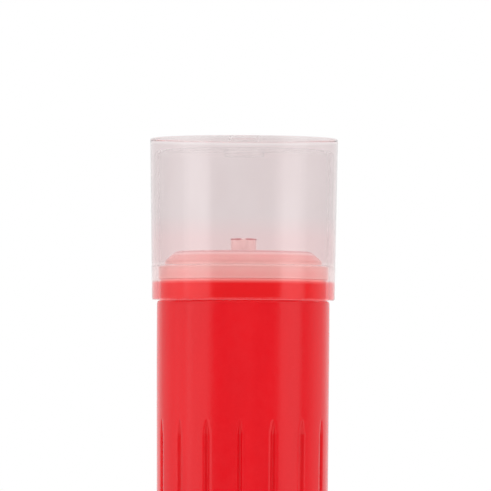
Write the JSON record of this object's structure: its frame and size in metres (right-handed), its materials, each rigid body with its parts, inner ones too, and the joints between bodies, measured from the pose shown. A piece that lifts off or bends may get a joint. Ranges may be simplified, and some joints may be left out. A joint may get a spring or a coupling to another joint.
{
  "type": "marker ink refill cartridge",
  "caption": "Upright ink refill cartridge for a whiteboard marker: clear frosted pull-off cap, valved nozzle and a red grooved barrel.",
  "frame": {"origin": "centre of the flat rear end that the cartridge stands on", "axes": "+Z along the cartridge's axis, from the closed rear end towards the nozzle and cap"},
  "size_m": [0.0164, 0.0164, 0.07],
  "materials": {
    "clear_frosted_plastic": "frosted translucent",
    "natural_plastic": "satin translucent",
    "red_plastic": "fine matte moulded",
    "white_plastic": "satin",
    "black_rubber": "matte",
    "spring_steel": "drawn wire",
    "red_ink": "wet"
  },
  "bodies": {
    "barrel": {"barrel": "red_plastic", "mouthpiece": "natural_plastic", "spring_cage": "white_plastic", "valve_spring": "spring_steel", "ink": "red_ink"},
    "valve": {"valve_stem": "white_plastic", "valve_gasket": "black_rubber"},
    "cap": {"cap": "clear_frosted_plastic"}
  },
  "joints": [
    {"name": "cap_pull", "type": "slide", "parent": "barrel", "child": "cap", "axis": [0, 0, 1], "range_m": [0, 0.02]},
    {"name": "valve_press", "type": "slide", "parent": "barrel", "child": "valve", "axis": [0, 0, -1], "range_m": [0, 0.0012], "stiffness_N_per_m": 150, "springref_m": -0.001, "deforming": ["valve_spring"]}
  ]
}
